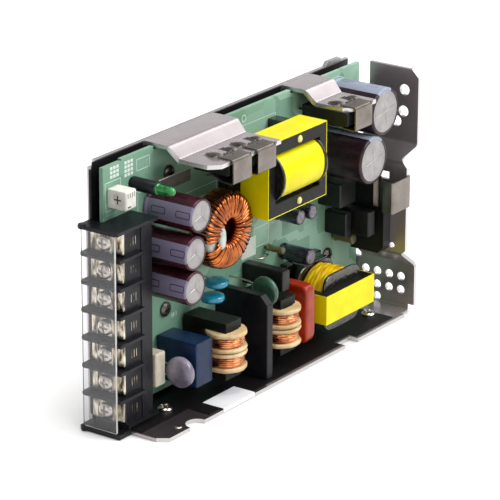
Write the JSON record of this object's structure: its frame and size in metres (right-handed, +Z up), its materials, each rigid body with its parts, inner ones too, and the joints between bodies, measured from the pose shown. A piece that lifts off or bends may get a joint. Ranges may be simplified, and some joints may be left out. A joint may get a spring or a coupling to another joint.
{
  "type": "switching power supply",
  "caption": "Open-frame switching power supply: folded steel chassis with board, wound transformers, capacitors and a covered screw terminal block.",
  "frame": {"origin": "centre of the outer face of the chassis base", "axes": "+X from the terminal block towards the end wall, +Y from the open front to the back plate, +Z up from the base"},
  "size_m": [0.164, 0.0322, 0.0966],
  "materials": {
    "zinc_steel": "satin",
    "spring_steel": "satin",
    "bright_screw": "satin",
    "nickel_brass": "satin",
    "black_film": "satin",
    "green_board": "satin",
    "black_plastic": "matt",
    "clear_plastic": "clear",
    "white_plastic": "matt",
    "blue_plastic": "gloss",
    "green_lens": "gloss",
    "maroon_sleeve": "satin",
    "brown_sleeve": "satin",
    "navy_sleeve": "satin",
    "can_aluminium": "satin",
    "copper_wire": "gloss",
    "iron_powder": "matt",
    "ferrite": "matt",
    "yellow_tape": "satin",
    "cream_plastic": "matt",
    "red_epoxy": "gloss",
    "turquoise_epoxy": "satin",
    "grey_epoxy": "satin",
    "dark_green_epoxy": "satin",
    "olive_coating": "satin",
    "beige_plastic": "matt",
    "bare_label": "matt"
  },
  "bodies": {
    "supply": {"base_screws": "bright_screw", "black_box_capacitor": "black_plastic", "blue_film_capacitor": "blue_plastic", "board_screws": "bright_screw", "board_spacers": "bright_screw", "bridge_rectifier": "black_plastic", "ceramic_capacitors": "turquoise_epoxy", "chassis": "zinc_steel", "choke_bobbin_1": "cream_plastic", "choke_bobbin_2": "cream_plastic", "choke_core_1": "ferrite", "choke_core_2": "ferrite", "choke_winding_1": "copper_wire", "choke_winding_2": "copper_wire", "circuit_board": "green_board", "end_clip": "spring_steel", "fuse_box": "beige_plastic", "input_capacitor_can_1": "can_aluminium", "input_capacitor_can_2": "can_aluminium", "input_capacitor_sleeve_1": "brown_sleeve", "input_capacitor_sleeve_2": "brown_sleeve", "insulation_sheet": "black_film", "label": "bare_label", "led_lens": "green_lens", "led_spacer": "black_plastic", "output_capacitor_can_1": "can_aluminium", "output_capacitor_can_2": "can_aluminium", "output_capacitor_can_3": "can_aluminium", "output_capacitor_sleeve_1": "maroon_sleeve", "output_capacitor_sleeve_2": "maroon_sleeve", "output_capacitor_sleeve_3": "maroon_sleeve", "output_diode_1": "black_plastic", "output_diode_2": "black_plastic", "partition": "black_plastic", "power_packages": "black_plastic", "red_film_capacitor": "red_epoxy", "resistors": "olive_coating", "small_capacitors": "navy_sleeve", "small_transformer_bobbin": "black_plastic", "small_transformer_core": "ferrite", "small_transformer_tape": "yellow_tape", "small_transformer_winding": "yellow_tape", "switching_transistor": "black_plastic", "terminal_block": "black_plastic", "terminal_plates": "nickel_brass", "terminal_screws": "bright_screw", "terminal_washers": "bright_screw", "thermistor": "dark_green_epoxy", "top_clips": "spring_steel", "toroid_base": "white_plastic", "toroid_core": "iron_powder", "toroid_winding": "copper_wire", "transformer_bobbin": "black_plastic", "transformer_core": "ferrite", "transformer_tape": "yellow_tape", "transformer_winding": "yellow_tape", "trimmer_body": "white_plastic", "varistor": "grey_epoxy"},
    "cover": {"terminal_cover": "clear_plastic"},
    "rotor": {"trimmer_rotor": "white_plastic"}
  },
  "joints": [
    {"name": "cover_hinge", "type": "hinge", "parent": "supply", "child": "cover", "pos_m": [-0.08445, 0.01365, 0.0385], "axis": [0, 0, -1], "range_deg": [0, 110]},
    {"name": "trimmer_turn", "type": "hinge", "parent": "supply", "child": "rotor", "pos_m": [-0.07525, 0.00555, 0.0824], "axis": [-1, 0, 0], "range_deg": [-120, 120]}
  ]
}
